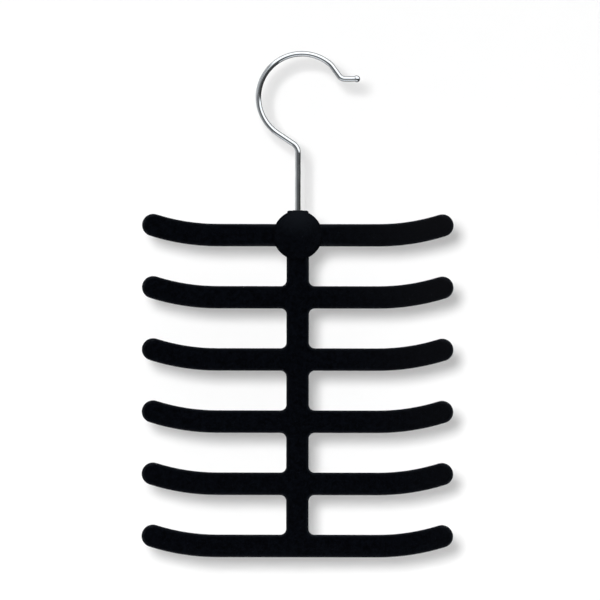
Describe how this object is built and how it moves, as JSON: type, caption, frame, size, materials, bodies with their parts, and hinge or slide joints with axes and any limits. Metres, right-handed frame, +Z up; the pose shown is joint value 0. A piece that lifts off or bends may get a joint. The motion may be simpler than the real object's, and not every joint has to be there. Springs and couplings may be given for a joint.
{
  "type": "tie hanger",
  "caption": "Flat comb-shaped velvet tie hanger: upturned arms on a central spine with a round hub, hung from a chromed wire hook that swivels.",
  "frame": {"origin": "rod seat: the middle of the wire's inner side at the crown of the hook's loop, where the rod bears", "axes": "+Z up, along the swivel axis; +X towards the hook's mouth and along the arms; the front faces -Y"},
  "size_m": [0.2, 0.0134, 0.3255],
  "materials": {
    "chrome_wire": "polished plating",
    "washer_steel": "zinc plated",
    "clip_steel": "blackened spring steel",
    "black_acetal": "moulded, satin",
    "black_flock": "short velvet flock over moulded plastic"
  },
  "bodies": {
    "hook": {"hook": "chrome_wire", "thrust_washer": "washer_steel", "retaining_clip": "clip_steel"},
    "frame": {"frame": "black_flock", "swivel_bush": "black_acetal", "front_hub_cover": "black_flock", "rear_hub_cover": "black_flock"}
  },
  "joints": [
    {"name": "swivel", "type": "hinge", "parent": "hook", "child": "frame", "pos_m": [-0.0025, 0, -0.115], "axis": [0, 0, 1], "continuous": true}
  ]
}
